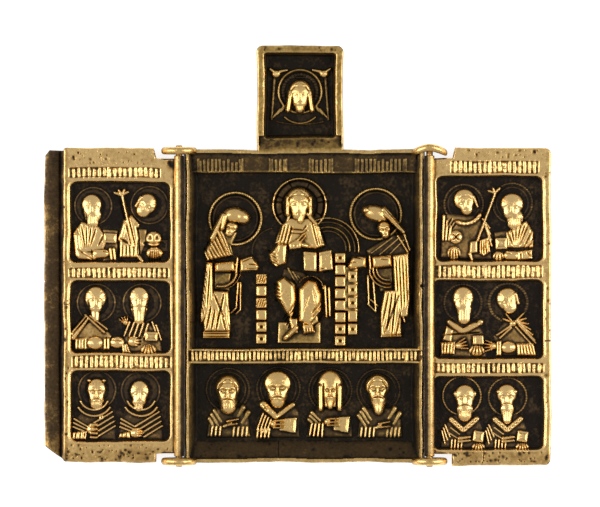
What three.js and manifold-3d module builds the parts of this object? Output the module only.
import * as THREE from "three";
import { ConvexGeometry } from "three/addons/geometries/ConvexGeometry.js";
import { mergeVertices } from "three/addons/utils/BufferGeometryUtils.js";
import Module from "manifold-3d";

const wasm = await Module();
wasm.setup();

// A cast brass travelling triptych, open flat. All sizes are millimetres. X runs across the three
// leaves, Y runs up them, and Z comes out of the relief. The origin is the middle of the centre's back.

// Centre panel
const panelWidth = 57;
const panelHeight = 75;
const caseDepth = 5;
const groundThickness = 1.5;
const rimWidth = 0.9;
const sideSlope = 1.1;
const bottomSlope = 4.2;
const topBandHeight = 4.9;
const topBandTilt = 1.1;
const topBandFace = 4.1;
const middleBandHeight = 4.2;
const middleBandFace = 4.3;
const lowerFieldHeight = 18.3;
const centreReach = 2.7;

// Plaque above the centre panel
const plaqueWidth = 20.7;
const plaqueHeight = 25.1;
const plaqueOffset = -1.05;
const plaqueRim = 1.7;
const plaqueFoot = 2.8;
const plaqueGround = 1.8;
const plaqueCorner = 1.5;

// Hinges: pins cast with the wings turn in the lugs of the centre panel
const barrelRadius = 1.2;
const sideGap = 0.35;
const closedGap = 0.6;
const pinRadius = 0.8;
const pinClearance = 0.3;
const pinEnd = 0.5;
const endGap = 0.3;
const lugThickness = 1.7;
const lugRadius = 4.3;
const lugInset = 0.6;
const notchGap = 1.2;

// Wings
const wingThickness = 2.8;
const leftReach = 27.75;
const rightReach = 29.25;
const leftHeight = 75.3;
const rightHeight = 76.2;
const leftLift = 0.25;
const rightLift = -0.1;
const wingCorner = 0.7;
const stileWidth = 0.85;
const fieldDepth = 1.5;
const fieldDraft = 0.35;
const fieldCorner = 1.3;
const titleDepth = 0.5;
const wingCrestGap = 0.1;

// Lap strip on the left wing, which covers the joint when the triptych is shut
const lapWidth = 4.7;
const lapThickness = 1.2;
const lapUnder = 2.5;
const lapTopDrop = 0.5;
const lapBottomRise = 3.4;
const lapGap = 0.3;
const lapBead = 0.5;

// Strokes of the worn titles
const strokePitch = 4.8;
const strokeWidth = 0.5;
const strokeRise = 0.45;

// Sizes that follow
const axisX = panelWidth / 2 + sideGap + barrelRadius;
const axisZ = caseDepth + closedGap / 2;
const panelTop = panelHeight / 2;
const wingBack = caseDepth - wingThickness;
const lugTop = panelTop + lugInset;
const lugBottom = -panelTop - lugInset;
const notchReach = lugRadius + notchGap;

// The wings' rows from top to bottom. Titles, gaps and margins are lengths. The fields share the
// height that is left. Figures are placed across a field by a share of its width, and their other
// measures are in twentieths of its height, counted from the middle of the figure's foot.
const leftRows = {
  top: 4.6,
  bottom: 4.8,
  stile: [1.6, 1.2],
  rows: [
    {
      title: 2.6, gap: 0.8, below: 1.0, share: 19.6,
      saints: [
        {
          across: 0.24, head: [-0.7, 13.9, 0], halo: [-0.4, 14.2, 4.6], beard: 2.4, dress: "fan",
          fan: [-1.2, 3.6, 62, 178], arm: [-3.7, 2.1, 1.4, 2.6], hands: [[1.8, 2.4]], book: [3.8, 6.2, 2.6, 2.4],
        },
        {
          across: 0.71, head: [0.8, 13.6, -39], halo: [1.6, 14.3, 4.4], dress: "robed",
          staff: [-5, 16.6, -2.2, 5.1], orb: [2.8, 5.9, 2.0], hands: [[3.1, 1.4]],
        },
      ],
    },
    {
      title: 2.6, gap: 0.5, below: 0.5, share: 17.6,
      saints: [
        {
          across: 0.25, head: [0, 14.6, 0], halo: [0.2, 13.8, 5.2], beard: 2.0, dress: "crossed",
          arm: [-1.6, 2.9, 1.6, 3.4], hands: [[5.9, 3.0]],
        },
        {
          across: 0.71, head: [-0.7, 14.8, 0], halo: [0.3, 13.8, 5.2], beard: 4.0, dress: "robed",
          hands: [[-4.4, 7.9], [-2.2, 3.3], [2.0, 0.8]], book: [2.7, 4.6, 2.9, 2.3],
        },
      ],
    },
    {
      title: 3.1, gap: 0.5, below: 0, share: 17.2,
      saints: [
        {
          across: 0.25, head: [0.3, 14.6, 0], halo: [0.5, 14.7, 5.2], beard: 2.4, dress: "wrapped",
          hands: [[-1.0, 3.4]],
        },
        {
          across: 0.69, head: [-0.1, 14.2, 0], halo: [0.4, 14.3, 5.4], beard: 2.0, dress: "wrapped",
          hands: [[-0.8, 2.7]],
        },
      ],
    },
  ],
};

const rightRows = {
  top: 3.1,
  bottom: 3.9,
  stile: [1.5, 1.8],
  rows: [
    {
      title: 3.1, gap: 0.5, below: 0.7, share: 20.8,
      saints: [
        {
          across: 0.25, head: [1.0, 13.5, 14], halo: [0.5, 14.4, 4.7], dress: "robed",
          staff: [7.1, 15.7, 3.4, 4.8], orb: [-1.4, 5.5, 1.9], hands: [[-2.1, 1.3], [2.6, 2.2]],
        },
        {
          across: 0.73, head: [-0.1, 13.6, 0], halo: [-0.3, 14.0, 4.8], beard: 2.6, dress: "fan",
          fan: [1.6, 2.8, 62, 150], arm: [-2.3, 1.5, 3.7, 1.8], hands: [[-3.6, 1.3]], book: [-3.0, 4.4, 2.8, 2.4],
        },
      ],
    },
    {
      title: 3.2, gap: 0.4, below: 0.9, share: 19.0,
      saints: [
        {
          across: 0.27, head: [0.3, 14.8, 0], halo: [-0.3, 14.3, 4.7], beard: 3.4, dress: "crossed",
          hands: [[-0.4, 3.7], [3.4, 1.4]], book: [3.8, 5.1, 3.2, 2.5],
        },
        {
          across: 0.71, head: [-0.8, 14.6, 12], halo: [-0.9, 14.5, 4.9], dress: "fan",
          fan: [0.6, 8.5, -52, 32], arm: [-3.0, 3.0, 0.6, 3.4], hands: [[-4.5, 3.7]],
        },
      ],
    },
    {
      title: 2.6, gap: 0.6, below: 0, share: 17.8,
      saints: [
        {
          across: 0.26, head: [0.8, 14.6, 0], halo: [0, 14.9, 5.3], beard: 3.0, dress: "pearled",
          hands: [[0.5, 3.1], [4.6, 0.8]], book: [4.6, 3.8, 3.1, 2.5],
        },
        {
          across: 0.68, head: [-0.1, 14.6, 0], halo: [-0.1, 14.6, 5.4], beard: 3.6, dress: "pearled",
          hands: [[-0.4, 2.6], [3.8, 0.8]], book: [3.4, 3.6, 2.8, 2.4],
        },
      ],
    },
  ],
};

// The four monks and bishops of the centre's lower register, in twentieths of its height
const lowerSaints = [
  {
    across: 0.15, head: [0, 12.9, 0], halo: [-0.1, 13.4, 5.6], beard: 3.0, dress: "robed",
    hands: [[0.5, 4.1]],
  },
  {
    across: 0.375, head: [0.1, 13.6, 0], halo: [0.4, 13.6, 5.6], beard: 2.8, dress: "crossed",
    hands: [[-0.3, 4.1]], book: [3.2, 3.7, 4.4, 4.0],
  },
  {
    across: 0.615, head: [0.2, 13.2, 0], halo: [0.1, 13.1, 5.7], beard: 3.2, dress: "hooded",
    hands: [[-0.4, 4.5]], book: [2.6, 4.2, 5.6, 3.4],
  },
  {
    across: 0.84, head: [-0.4, 13.8, 0], halo: [-0.3, 12.9, 5.6], beard: 3.8, dress: "robed",
    hands: [[0.4, 4.1]],
  },
];

// Head, beard and hand sizes of a half-length figure, in its own twentieths
const headHalfWidth = 2.5;
const headHalfHeight = 3.3;
const beardHalfWidth = 1.9;
const handRadius = 1.25;
const shoulderHalfWidth = 5.3;
const shoulderHeight = 8.2;
const haloWidth = 0.75;

// Relief forms
const root = 0.8;
const domeSides = 6;
const handSides = 5;
const ringSides = 10;
const headSides = 6;
const lugSides = 14;
const barrelSides = 12;
const pinSides = 8;
const foldShare = 0.85;

// Makes a manifold solid of a closed geometry, with shared vertices and faces that point out
function solid(geometry) {
  geometry.deleteAttribute("normal");
  geometry.deleteAttribute("uv");
  const merged = mergeVertices(geometry, 1e-4);
  const places = merged.attributes.position.array;
  const corners = merged.index.array;
  const faces = [];
  let volume = 0;
  const point = (index) => new THREE.Vector3().fromArray(places, index * 3);
  for (let i = 0; i < corners.length; i += 3) {
    const [a, b, c] = corners.slice(i, i + 3);
    if (a !== b && b !== c && c !== a) {
      faces.push([a, b, c]);
      volume += point(a).dot(point(b).cross(point(c)));
    }
  }
  const outward = volume < 0 ? faces.map(([a, b, c]) => [a, c, b]) : faces;
  const mesh = new wasm.Mesh({
    numProp: 3,
    vertProperties: new Float32Array(places),
    triVerts: new Uint32Array(outward.flat()),
  });
  return new wasm.Manifold(mesh);
}

function join(solids) {
  let waiting = solids;
  while (waiting.length > 1) {
    const next = [];
    for (let i = 0; i < waiting.length; i += 2) {
      next.push(i + 1 < waiting.length ? waiting[i].add(waiting[i + 1]) : waiting[i]);
    }
    waiting = next;
  }
  return waiting[0];
}

// The convex solid round a set of points, each [x, y, z]
function hull(points) {
  return solid(new ConvexGeometry(points.map(([x, y, z]) => new THREE.Vector3(x, y, z))));
}

function prism(outline, low, high) {
  const shape = new THREE.Shape(outline.map(([x, y]) => new THREE.Vector2(x, y)));
  const geometry = new THREE.ExtrudeGeometry(shape, { depth: high - low, bevelEnabled: false });
  return solid(geometry.translate(0, 0, low));
}

function box(left, right, bottom, top, low, high) {
  return prism(squareOutline(left, right, bottom, top), low, high);
}

// Points of a rectangle with round corners
function roundedOutline(left, right, bottom, top, radius, steps = 2) {
  const corners = [
    [right - radius, top - radius, 0],
    [left + radius, top - radius, 90],
    [left + radius, bottom + radius, 180],
    [right - radius, bottom + radius, 270],
  ];
  const points = [];
  for (const [x, y, start] of corners) {
    for (let i = 0; i <= steps; i += 1) {
      const angle = THREE.MathUtils.degToRad(start + (90 * i) / steps);
      points.push([x + radius * Math.cos(angle), y + radius * Math.sin(angle)]);
    }
  }
  return points;
}

function squareOutline(left, right, bottom, top) {
  return [[left, bottom], [right, bottom], [right, top], [left, top]];
}

// A recess, with round corners where it has a radius, and walls that lean out towards its mouth
function recess(left, right, bottom, top, floor, mouth, draft, radius) {
  const outline = radius ? roundedOutline : squareOutline;
  const low = outline(left + draft, right - draft, bottom + draft, top - draft, radius);
  const high = outline(left, right, bottom, top, radius);
  const over = 1;
  return hull([
    ...low.map(([x, y]) => [x, y, floor]),
    ...high.map(([x, y]) => [x, y, mouth]),
  ]).add(prism(high, mouth, mouth + over));
}

// A cylinder with its axis along Y
function rod(x, z, radius, bottom, top, sides) {
  const geometry = new THREE.CylinderGeometry(radius, radius, top - bottom, sides);
  return solid(geometry.translate(x, (top + bottom) / 2, z));
}

// Relief tools for one figure or field. Places and sizes are in modules from the figure's foot, and
// a crest is a share of the field's reach.
function carver(field, across, modules) {
  const unit = field.height / modules;
  const footX = field.left + field.width * across;
  const base = field.ground - root;
  const crest = (share) => field.ground + field.reach * share;
  const at = (x, y) => [footX + x * unit, field.bottom + y * unit];
  const parts = [];

  const loop = (x, y, halfWidth, halfHeight, turn, share, z, sides) => {
    const points = [];
    const tilt = THREE.MathUtils.degToRad(turn);
    for (let i = 0; i < sides; i += 1) {
      const angle = (2 * Math.PI * i) / sides;
      const across0 = halfWidth * share * Math.cos(angle);
      const along0 = halfHeight * share * Math.sin(angle);
      const [px, py] = at(
        x + across0 * Math.cos(tilt) - along0 * Math.sin(tilt),
        y + across0 * Math.sin(tilt) + along0 * Math.cos(tilt),
      );
      points.push([px, py, z]);
    }
    return points;
  };

  return {
    parts,
    // A rounded form such as a head, a beard or a hand
    mound(x, y, halfWidth, halfHeight, top, turn = 0, sides = domeSides) {
      parts.push(hull([
        ...loop(x, y, halfWidth, halfHeight, turn, 1, base, sides),
        ...loop(x, y, halfWidth, halfHeight, turn, 0.82, crest(top * 0.7), sides),
        ...loop(x, y, halfWidth, halfHeight, turn, 0.35, crest(top), sides),
      ]));
    },
    // A small flat-topped form such as a hand
    knob(x, y, halfWidth, halfHeight, top, turn = 0) {
      const [wide, tall] = turn ? [halfHeight, halfWidth] : [halfWidth, halfHeight];
      parts.push(hull([
        ...loop(x, y, wide, tall, turn, 1, base, handSides),
        ...loop(x, y, wide, tall, turn, 0.55, crest(top), handSides),
      ]));
    },
    // A rounded bar between two places, such as a forearm or a thigh
    limb(x0, y0, x1, y1, radius0, radius1, top, sides = 5) {
      parts.push(hull([
        ...loop(x0, y0, radius0, radius0, 0, 1, base, sides),
        ...loop(x1, y1, radius1, radius1, 0, 1, base, sides),
        ...loop(x0, y0, radius0, radius0, 0, 0.5, crest(top), sides),
        ...loop(x1, y1, radius1, radius1, 0, 0.5, crest(top), sides),
      ]));
    },
    // A ridge of cloth with a sharp crest
    fold(x0, y0, x1, y1, width, top) {
      const [ax, ay] = at(x0, y0);
      const [bx, by] = at(x1, y1);
      const length = Math.hypot(bx - ax, by - ay);
      const [dx, dy] = [(bx - ax) / length, (by - ay) / length];
      const half = (width * unit) / 2;
      const side = (x, y, s) => [x - dy * half * s, y + dx * half * s, base];
      parts.push(hull([
        side(ax, ay, 1), side(ax, ay, -1), side(bx, by, 1), side(bx, by, -1),
        [ax + dx * half, ay + dy * half, crest(top)],
        [bx - dx * half, by - dy * half, crest(top)],
      ]));
    },
    // Ridges side by side, each moved on by the same step
    folds(x0, y0, x1, y1, stepX, stepY, count, top) {
      for (let i = 0; i < count; i += 1) {
        const [sx, sy] = [stepX * i, stepY * i];
        const width = Math.hypot(stepX, stepY) * foldShare;
        this.fold(x0 + sx, y0 + sy, x1 + sx, y1 + sy, width, top);
      }
    },
    // Ridges that radiate from one place
    fan(x, y, inner, outer, start, end, count, top) {
      for (let i = 0; i < count; i += 1) {
        const angle = THREE.MathUtils.degToRad(start + ((end - start) * i) / (count - 1));
        const [dx, dy] = [Math.cos(angle), Math.sin(angle)];
        this.fold(x + dx * inner, y + dy * inner, x + dx * outer, y + dy * outer, 1, top);
      }
    },
    // A raised ring, as a halo
    ring(x, y, radius, width, top) {
      const [px, py] = at(x, y);
      const [r, half, rise] = [radius * unit, (width * unit) / 2, crest(top)];
      const profile = [[r - half, base], [r + half, base], [r, rise], [r - half, base]];
      const section = profile.map(([pr, pz]) => new THREE.Vector2(pr, pz));
      const geometry = new THREE.LatheGeometry(section, ringSides).rotateX(Math.PI / 2);
      parts.push(solid(geometry.translate(px, py, 0)));
    },
    // A curved ridge along an arc
    bend(x, y, radius, start, end, width, top, steps = 5) {
      for (let i = 0; i < steps; i += 1) {
        const a = THREE.MathUtils.degToRad(start + ((end - start) * i) / steps);
        const b = THREE.MathUtils.degToRad(start + ((end - start) * (i + 1)) / steps);
        const station = (angle, spread) => at(
          x + (radius + spread) * Math.cos(angle),
          y + (radius + spread) * Math.sin(angle),
        );
        const half = width / 2;
        parts.push(hull([
          [...station(a, -half), base], [...station(a, half), base], [...station(a, 0), crest(top)],
          [...station(b, -half), base], [...station(b, half), base], [...station(b, 0), crest(top)],
        ]));
      }
    },
    // A broad convex mass of cloth, with its edge drawn in towards the top
    mass(top, points) {
      const middleX = points.reduce((sum, [x]) => sum + x, 0) / points.length;
      const middleY = points.reduce((sum, [, y]) => sum + y, 0) / points.length;
      const draw = (share, z) => points.map(([x, y]) => [
        ...at(middleX + (x - middleX) * share, middleY + (y - middleY) * share), z,
      ]);
      parts.push(hull([...draw(1, base), ...draw(0.86, crest(top))]));
    },
    // A flat block such as a book, a stool or a throne post's knob
    block(x, y, width, height, top, turn = 0) {
      const [cos, sin] = [Math.cos(turn), Math.sin(turn)];
      const corners = [[-1, -1], [1, -1], [1, 1], [-1, 1]].map(([i, j]) => {
        const [dx, dy] = [(i * width) / 2, (j * height) / 2];
        return at(x + dx * cos - dy * sin, y + dx * sin + dy * cos);
      });
      parts.push(prism(corners, base, crest(top)));
    },
  };
}

// The dress of a half-length figure
const dresses = {
  fan(carve, saint) {
    const [x, y, start, end] = saint.fan;
    carve.fan(x, y, 1, 6, start, end, 4, 0.75);
  },
  robed(carve, saint) {
    const [headX] = saint.head;
    carve.fold(headX - 3.8, 1, headX - 2.4, 7.6, 1.8, 0.65);
    carve.fold(headX + 3.8, 1, headX + 2.4, 7.6, 1.8, 0.65);
  },
  crossed(carve, saint) {
    const [headX] = saint.head;
    carve.fold(headX - 3.9, 8.8, headX + 1.4, 4.8, 1.6, 0.75);
    carve.fold(headX + 3.9, 8.8, headX - 0.4, 5.2, 1.6, 0.75);
    carve.fold(headX - 4.2, 4.2, headX - 4.2, 0.6, 1.6, 0.75);
  },
  wrapped(carve, saint) {
    const [headX] = saint.head;
    carve.bend(headX, 11.6, 4.4, 205, 335, 1.2, 0.75, 3);
    carve.fold(headX - 3.4, 5.4, headX + 3.8, 8.2, 1.1, 0.6);
    carve.folds(headX - 4.6, 3.6, headX - 4.6, 0.8, 1.1, 0, 2, 0.75);
  },
  pearled(carve, saint) {
    const [headX] = saint.head;
    carve.fold(headX - 3.9, 8.6, headX - 0.3, 4.8, 1.3, 0.8);
    carve.fold(headX + 3.9, 8.6, headX + 0.3, 4.8, 1.3, 0.8);
    carve.folds(headX - 3.6, 4.4, headX - 3.6, 0.6, 1.2, 0, 2, 0.7);
  },
  hooded(carve, saint) {
    const [headX, headY] = saint.head;
    carve.mound(headX, headY, 3.7, 5.3, 0.7);
    carve.folds(headX - 3.2, 10, headX - 2.8, 5.4, 0.9, 0, 1, 0.9);
    carve.folds(headX - 4.6, 4.4, headX - 5.0, 0.6, 1.1, 0, 2, 0.75);
  },
};

function bust(field, saint) {
  const carve = carver(field, saint.across, 20);
  const [headX, headY, tilt] = saint.head;
  const half = shoulderHalfWidth;
  carve.ring(...saint.halo, haloWidth, 0.3);
  carve.mass(0.42, [
    [headX - half, 0.2], [headX - half, 4], [headX - half * 0.55, shoulderHeight],
    [headX + half * 0.55, shoulderHeight], [headX + half, 4], [headX + half, 0.2],
  ]);
  dresses[saint.dress](carve, saint);
  carve.mound(headX, headY, headHalfWidth, headHalfHeight, 1, tilt, headSides);
  if (saint.beard) {
    carve.knob(headX, headY - headHalfHeight - saint.beard * 0.3, beardHalfWidth, saint.beard, 0.88, -90);
  }
  if (saint.staff) {
    const [topX, topY, footX, footY] = saint.staff;
    carve.fold(topX, topY, footX, footY, 0.9, 0.9);
    carve.fold(topX - 1.2, topY - 0.8, topX + 1.2, topY + 0.2, 0.9, 0.9);
  }
  if (saint.orb) {
    const [x, y, radius] = saint.orb;
    carve.mound(x, y, radius, radius, 0.75);
  }
  if (saint.arm) {
    carve.limb(...saint.arm, 1.2, 1.2, 0.75);
  }
  if (saint.book) {
    carve.block(...saint.book, 0.8);
  }
  for (const [x, y] of saint.hands) {
    carve.knob(x, y, handRadius * 1.15, handRadius, 0.88);
  }
  return carve.parts;
}

// The figure at the left of the throne: a veiled woman, both hands held out. Fortieths of the
// scene's height.
function mourner(field) {
  const carve = carver(field, 0.177, 40);
  carve.ring(0.8, 29.5, 6.1, 1.1, 0.3);
  carve.mass(0.35, [[-6.8, 21.6], [-4.9, 24.9], [-1.4, 26.6], [1.0, 22], [1.9, 18], [-6.4, 17.2]]);
  carve.mass(0.35, [[-6.2, 19], [1.9, 18.8], [1.9, 9], [-0.7, 1], [-6.6, 1], [-7.8, 4.7]]);
  carve.mound(1.3, 29.9, 3.2, 2.2, 0.75, -24);
  carve.mound(0.9, 27.2, 1.6, 2.2, 0.95, -28);
  carve.limb(-1.4, 30, -4.7, 24.5, 0.9, 1.2, 0.7);
  carve.folds(-6.2, 24, -4.0, 19.8, 1.7, 0.8, 4, 0.75);
  carve.limb(-3.8, 18.2, 0, 18.5, 1.3, 1.4, 0.8);
  carve.limb(2, 18.6, 5.8, 18.5, 1.4, 1, 0.85);
  carve.fold(2.6, 19.3, 4.7, 20.8, 0.8, 0.85);
  carve.bend(-2.4, 16.7, 3.8, -95, 55, 1, 0.7, 4);
  carve.folds(-6.2, 18.8, -6.9, 5.4, 0.9, 0, 3, 0.75);
  carve.folds(-4.4, 12, -6.4, 3.4, 1.5, 0, 4, 0.7);
  carve.fold(1.9, 16, 1.6, 8, 0.7, 0.55);
  carve.fold(0.7, 13.2, -0.2, 7.5, 0.7, 0.45);
  carve.fold(-6.8, 2.1, -0.9, 2.1, 1.3, 0.6);
  return carve.parts;
}

// The figure at the right of the throne, who bows with both hands held out
function attendant(field) {
  const carve = carver(field, 0.868, 40);
  carve.ring(-1.9, 30.6, 6, 1.1, 0.3);
  carve.mass(0.35, [[4.8, 25.8], [1.9, 26.2], [-1.5, 21.9], [-3.6, 17.9], [6.1, 17], [6.1, 22]]);
  carve.mass(0.35, [[-3.6, 18.5], [6.1, 19], [5.9, 1.2], [-0.9, 1.2], [-3.6, 10.2]]);
  carve.mound(-1.4, 31, 3.5, 2.1, 0.75, 24);
  carve.mound(0.5, 27.6, 1.6, 2.3, 0.95, 24);
  carve.folds(1.4, 30.9, 4.5, 26.4, -0.7, -0.4, 3, 0.75);
  carve.limb(4.3, 25, 5.4, 21.6, 1, 1.1, 0.65);
  carve.limb(-2.6, 19.3, 1.9, 19.5, 1.5, 1.4, 0.85);
  carve.limb(-8, 19.3, -4.2, 19.9, 1, 1.4, 0.85);
  carve.bend(0.5, 17.9, 4, 120, 272, 1, 0.75, 4);
  carve.folds(2.1, 20.7, 3.4, 7.6, 1.3, 0, 3, 0.75);
  carve.folds(-0.2, 12.2, -0.7, 3.3, 1.5, 0, 4, 0.65);
  carve.fold(-3.8, 16.9, -3.5, 10.4, 0.7, 0.5);
  carve.fold(0, 2, 5.8, 2.2, 1.3, 0.6);
  return carve.parts;
}

// The enthroned figure, who blesses and holds an open book, with the throne behind
function enthroned(field) {
  const carve = carver(field, 0.497, 40);
  carve.bend(6.1, 22.4, 6.8, -4, 118, 1, 0.3, 6);
  carve.bend(6.1, 22.4, 4.4, 0, 112, 0.8, 0.3, 4);
  carve.ring(-0.6, 32.7, 6.5, 1.1, 0.3);
  carve.block(-0.5, 2.5, 10.4, 5, 0.28);
  carve.mass(0.5, [[-4.3, 28.7], [3.3, 29.2], [5.2, 26.4], [6.1, 22], [0, 17], [-6.6, 21.6], [-6.2, 25.4]]);
  carve.fan(-0.9, 30.2, 3.4, 8.6, 206, 246, 4, 0.72);
  carve.fan(0, 30.2, 3.4, 8.8, -56, -20, 4, 0.72);
  carve.mound(-0.7, 33, 3.3, 4.3, 1, 0, 8);
  carve.mound(-0.7, 28.9, 1.9, 2, 0.9);
  carve.limb(-5.4, 22.2, -4.9, 19.4, 1.7, 2.1, 0.85);
  carve.limb(-3.3, 23.1, -0.7, 23.8, 1.1, 1, 0.85);
  carve.fold(-0.7, 23.4, 0.5, 25.9, 0.9, 0.85);
  carve.block(1.9, 19.6, 3.7, 5, 0.72, 0.08);
  carve.block(5.7, 19.4, 3.7, 5, 0.8, -0.08);
  carve.mass(0.5, [[-4.2, 17.9], [4.8, 17.4], [4.3, 14.6], [-0.9, 14], [-6.1, 15]]);
  carve.limb(-4.5, 14.1, -2.4, 5.6, 2.3, 1.5, 0.9, 6);
  carve.limb(1.9, 14.3, 1.4, 4.6, 2.5, 1.7, 0.95, 6);
  carve.folds(-4.7, 7.4, -2.2, 9.6, 0.5, -1.5, 3, 0.8);
  carve.folds(2.6, 7.5, 4.7, 10.8, -0.2, -1.6, 3, 0.8);
  carve.fold(4.9, 13.6, 5.9, 6.1, 0.8, 0.6);
  carve.limb(-2.6, 3.4, -4.2, 1, 0.8, 0.8, 0.8);
  carve.limb(0.9, 3.8, 2.8, 2.8, 1, 0.9, 0.8);
  return carve.parts;
}

// A throne post built of square knobs, one above another
function post(field, across, bottom, top, width, knobs) {
  const carve = carver(field, across, 40);
  const pitch = (top - bottom) / knobs;
  for (let i = 0; i < knobs; i += 1) {
    carve.block(0, bottom + pitch * (i + 0.5), width, pitch * 0.78, 0.62);
  }
  return carve.parts;
}

// The face on a cloth knotted at its two upper corners, in twentieths of the plaque's field
function holyCloth(field) {
  const carve = carver(field, 0.5, 20);
  carve.ring(0, 10.7, 5, 0.9, 0.35);
  carve.mound(0, 10.2, 2.7, 3.6, 1, 0, 8);
  carve.mound(0, 6.7, 1.6, 1.6, 0.85);
  for (const side of [-1, 1]) {
    carve.knob(5.4 * side, 14.6, 1.1, 1.1, 0.85);
    carve.limb(2.2 * side, 9, 3.1 * side, 6, 0.6, 0.7, 0.7);
    carve.fold(5.6 * side, 13.6, 6.4 * side, 4.2, 0.5, 0.35);
    carve.fold(3.2 * side, 6.8, 5.8 * side, 4.6, 0.6, 0.5);
  }
  carve.bend(0, 16.4, 13.8, 244, 296, 0.5, 0.35);
  return carve.parts;
}

// Rows of shallow strokes in the place of a title
function strokes(left, right, bottom, top, low, pitch) {
  const count = Math.max(1, Math.floor((right - left) / pitch));
  const step = (right - left) / count;
  const bars = [];
  for (let i = 0; i < count; i += 1) {
    const x = left + step * (i + 0.5);
    const lean = [0, 0.35, -0.35][i % 3];
    const cut = (top - bottom) * (i % 4 === 3 ? 0.3 : 0.1);
    const half = strokeWidth / 2;
    const outline = [
      [x - lean - half, bottom + cut], [x - lean + half, bottom + cut],
      [x + lean + half, top - cut], [x + lean - half, top - cut],
    ];
    bars.push(prism(outline, low - root / 2, low + strokeRise));
  }
  return bars;
}

function centrePanel() {
  const half = panelWidth / 2;
  const [left, right] = [-half, half];
  const innerTop = panelTop - rimWidth;
  const innerBottom = -panelTop + rimWidth;
  const fieldLeft = left + rimWidth + sideSlope;
  const fieldRight = right - rimWidth - sideSlope;
  const lowerBottom = innerBottom + bottomSlope;
  const lowerTop = lowerBottom + lowerFieldHeight;
  const sceneBottom = lowerTop + middleBandHeight;
  const sceneTop = innerTop - topBandHeight;
  const plaqueLeft = plaqueOffset - plaqueWidth / 2;
  const plaqueRight = plaqueOffset + plaqueWidth / 2;
  const plaqueTop = panelTop + plaqueHeight;
  const over = 0.5;

  let casting = box(left, right, -panelTop, panelTop, 0, caseDepth);
  const plaqueOutline = roundedOutline(plaqueLeft, plaqueRight, panelTop - plaqueCorner * 2, plaqueTop, plaqueCorner);
  casting = casting.add(prism(plaqueOutline, 0, caseDepth));

  // The tray, with its walls leaning out to a thin rim
  const rectangle = (x0, x1, y0, y1, z) => [[x0, y0, z], [x1, y0, z], [x1, y1, z], [x0, y1, z]];
  casting = casting.subtract(hull([
    ...rectangle(fieldLeft, fieldRight, lowerBottom, innerTop - over, groundThickness),
    ...rectangle(left + rimWidth, right - rimWidth, innerBottom, innerTop, caseDepth),
    ...rectangle(left + rimWidth, right - rimWidth, innerBottom, innerTop, caseDepth + over),
  ]));
  casting = casting.subtract(recess(
    plaqueLeft + plaqueRim, plaqueRight - plaqueRim, panelTop + plaqueFoot, plaqueTop - plaqueRim,
    plaqueGround, caseDepth, fieldDraft, plaqueCorner / 2,
  ));
  casting = casting.subtract(hull([
    ...rectangle(plaqueLeft + plaqueRim, plaqueRight - plaqueRim, panelTop + over, panelTop + plaqueFoot - over, caseDepth + over),
    ...rectangle(plaqueLeft + plaqueRim, plaqueRight - plaqueRim, panelTop + plaqueFoot - 2 * over, panelTop + plaqueFoot - over, caseDepth - over),
  ]));

  // Title bands: a leaning one under the top rim and a flat one under the scene
  const bandLeft = left + rimWidth / 2;
  const bandRight = right - rimWidth / 2;
  const topBand = hull([
    ...rectangle(bandLeft, bandRight, sceneTop, panelTop - rimWidth / 2, groundThickness - root / 2),
    ...rectangle(bandLeft, bandRight, sceneTop, sceneTop + over, topBandFace - topBandTilt),
    ...rectangle(bandLeft, bandRight, innerTop - over, panelTop - rimWidth / 2, topBandFace),
  ]);
  const middleBand = box(bandLeft, bandRight, lowerTop, sceneBottom, groundThickness - root / 2, middleBandFace);
  const parts = [casting, topBand, middleBand];

  const titleEdge = middleBandHeight * 0.2;
  const titles = recess(
    left + rimWidth * 1.4, right - rimWidth * 1.4, lowerTop + titleEdge, sceneBottom - titleEdge,
    middleBandFace - titleDepth, middleBandFace, titleDepth / 4, 0,
  );
  casting = join(parts).subtract(titles);

  const relief = strokes(
    left + rimWidth * 2, right - rimWidth * 2, lowerTop + titleEdge, sceneBottom - titleEdge,
    middleBandFace - titleDepth, strokePitch,
  );
  const groups = [[0.08, 0.26], [0.38, 0.43], [0.54, 0.62], [0.76, 0.96]];
  for (const [start, end] of groups) {
    const face = topBandFace - topBandTilt * 0.9;
    relief.push(...strokes(
      left + panelWidth * start, left + panelWidth * end, sceneTop + 0.6, innerTop - 1.2, face, strokePitch,
    ));
  }

  const scene = {
    left: fieldLeft, width: fieldRight - fieldLeft, bottom: sceneBottom, height: sceneTop - sceneBottom,
    ground: groundThickness, reach: centreReach,
  };
  relief.push(...mourner(scene), ...attendant(scene), ...enthroned(scene));
  relief.push(...post(scene, 0.322, 0.2, 16.6, 2.2, 6));
  relief.push(...post(scene, 0.678, 0.2, 21.6, 2.3, 8));
  relief.push(...post(scene, 0.735, 2.2, 17.4, 1.9, 5));

  const lower = {
    left: fieldLeft, width: fieldRight - fieldLeft, bottom: lowerBottom, height: lowerFieldHeight,
    ground: groundThickness, reach: centreReach,
  };
  for (const saint of lowerSaints) {
    relief.push(...bust(lower, saint));
  }

  const plaque = {
    left: plaqueLeft + plaqueRim, width: plaqueWidth - 2 * plaqueRim, bottom: panelTop + plaqueFoot,
    height: plaqueHeight - plaqueFoot - plaqueRim, ground: plaqueGround, reach: centreReach * 0.85,
  };
  relief.push(...holyCloth(plaque));

  // Lugs at the four corners: round ears on edge, each with a hole for a wing's pin
  const holeRadius = pinRadius + pinClearance;
  casting = join([casting, ...relief]);
  for (const side of [-1, 1]) {
    for (const bottom of [lugBottom, lugTop - lugThickness]) {
      const top = bottom + lugThickness;
      const ear = rod(side * axisX, axisZ, lugRadius, bottom, top, lugSides);
      const hole = rod(side * axisX, axisZ, holeRadius, bottom - over, top + over, pinSides);
      casting = casting.add(ear).subtract(hole);
    }
  }
  return casting;
}

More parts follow.
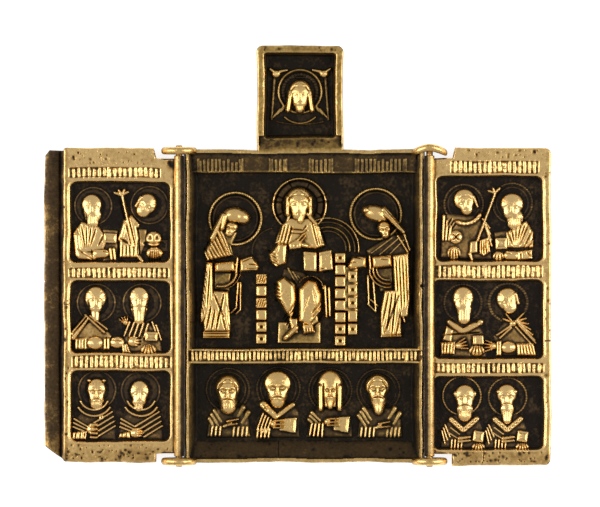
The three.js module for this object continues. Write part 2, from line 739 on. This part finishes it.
function wing(side, reach, height, lift, layout) {
  const sign = (x) => side * x;
  const top = lift + height / 2;
  const bottom = lift - height / 2;
  const face = caseDepth;
  const inner = axisX;
  const outer = axisX + reach;
  const [left, right] = side < 0 ? [-outer, -inner] : [inner, outer];
  const barrelTop = lugTop - lugThickness - endGap;
  const barrelBottom = lugBottom + lugThickness + endGap;
  const over = 0.5;

  let leaf = prism(roundedOutline(left - wingCorner * (side > 0), right + wingCorner * (side < 0), bottom, top, wingCorner), wingBack, face);

  // Notches that clear the lugs, and a straight edge at the hinge
  for (const [low, high] of [[barrelTop - 2 * endGap, top + over], [bottom - over, barrelBottom + 2 * endGap]]) {
    const [x0, x1] = [sign(inner - 2), sign(inner + notchReach)].sort((a, b) => a - b);
    leaf = leaf.subtract(box(x0, x1, low, high, wingBack - over, face + over));
  }
  const [cutLeft, cutRight] = [sign(inner - 3), sign(inner)].sort((a, b) => a - b);
  leaf = leaf.subtract(box(cutLeft, cutRight, bottom - over, top + over, wingBack - over, face + over));

  // Rows of title strips and fields
  const fieldInner = inner + barrelRadius + layout.stile[0] - stileWidth;
  const fieldOuter = outer - layout.stile[1];
  const [fieldLeft, fieldRight] = side < 0 ? [-fieldOuter, -fieldInner] : [fieldInner, fieldOuter];
  const fixed = layout.rows.reduce((sum, row) => sum + row.title + row.gap + row.below, layout.top + layout.bottom);
  const shares = layout.rows.reduce((sum, row) => sum + row.share, 0);
  const relief = [];
  let y = top - layout.top;
  for (const row of layout.rows) {
    const titleBottom = y - row.title;
    const notched = y > barrelTop - 3;
    const titleLeft = fieldLeft + (notched && side > 0 ? notchReach - 2 : 0);
    const titleRight = fieldRight - (notched && side < 0 ? notchReach - 2.5 : 0);
    const titleFloor = face - titleDepth;
    leaf = leaf.subtract(recess(
      titleLeft, titleRight, titleBottom, y, titleFloor, face, titleDepth / 4, 0,
    ));
    relief.push(...strokes(titleLeft + 0.5, titleRight - 0.5, titleBottom + 0.2, y - 0.2, titleFloor, strokePitch));

    const fieldTop = titleBottom - row.gap;
    const fieldHeight = ((height - fixed) * row.share) / shares;
    const ground = face - fieldDepth;
    leaf = leaf.subtract(recess(
      fieldLeft, fieldRight, fieldTop - fieldHeight, fieldTop, ground, face, fieldDraft, fieldCorner,
    ));
    const field = {
      left: fieldLeft, width: fieldRight - fieldLeft, bottom: fieldTop - fieldHeight + fieldDraft,
      height: fieldHeight, ground, reach: fieldDepth - wingCrestGap,
    };
    for (const saint of row.saints) {
      relief.push(...bust(field, saint));
    }
    y = fieldTop - fieldHeight - row.below;
  }
  const body = join([leaf, ...relief]);

  // The barrel, and the pin that runs through it into both lugs
  const pinTop = lugTop + pinEnd;
  const pinBottom = lugBottom - pinEnd;
  return join([
    body,
    rod(sign(axisX), axisZ, barrelRadius, barrelBottom, barrelTop, barrelSides),
    rod(sign(axisX), axisZ, pinRadius, pinBottom, pinTop, pinSides),
  ]);
}

// The strip beyond the left wing's free edge, set back so that it laps over the right wing
function lapStrip() {
  const freeEdge = -axisX - leftReach;
  const high = wingBack - lapGap;
  const low = high - lapThickness;
  const top = leftLift + leftHeight / 2 - lapTopDrop;
  const bottom = leftLift - leftHeight / 2 + lapBottomRise;
  const inside = freeEdge + lapUnder;
  const outside = freeEdge - lapWidth;
  const chamfer = lapBottomRise;
  const strip = prism([
    [inside, bottom - chamfer * 0.7], [inside, top], [outside + 1, top],
    [outside, top - 1], [outside, bottom], [freeEdge, bottom - chamfer * 0.9],
  ], low, high);
  const seat = box(freeEdge + 0.4, inside, bottom, top - 1, high - 0.2, wingBack + 0.4);
  const bead = rod(outside + lapWidth * 0.45, high, lapBead, bottom, top - 1, 8);
  return [strip, seat, bead];
}

function brassMesh(name, casting, color) {
  const mesh = casting.getMesh();
  const geometry = new THREE.BufferGeometry();
  geometry.setAttribute("position", new THREE.BufferAttribute(new Float32Array(mesh.vertProperties), 3));
  geometry.setIndex(new THREE.BufferAttribute(new Uint32Array(mesh.triVerts), 1));
  const flat = geometry.toNonIndexed();
  flat.computeVertexNormals();
  const brass = new THREE.MeshStandardMaterial({ color, roughness: 0.42, metalness: 0.95 });
  const node = new THREE.Mesh(flat, brass);
  node.name = name;
  return node;
}

const triptych = new THREE.Group();
triptych.add(brassMesh("centre_panel", centrePanel(), 0x8a7444));
triptych.add(brassMesh("left_wing", join([wing(-1, leftReach, leftHeight, leftLift, leftRows), ...lapStrip()]), 0xb3955c));
triptych.add(brassMesh("right_wing", wing(1, rightReach, rightHeight, rightLift, rightRows), 0xb3955c));

export default triptych;
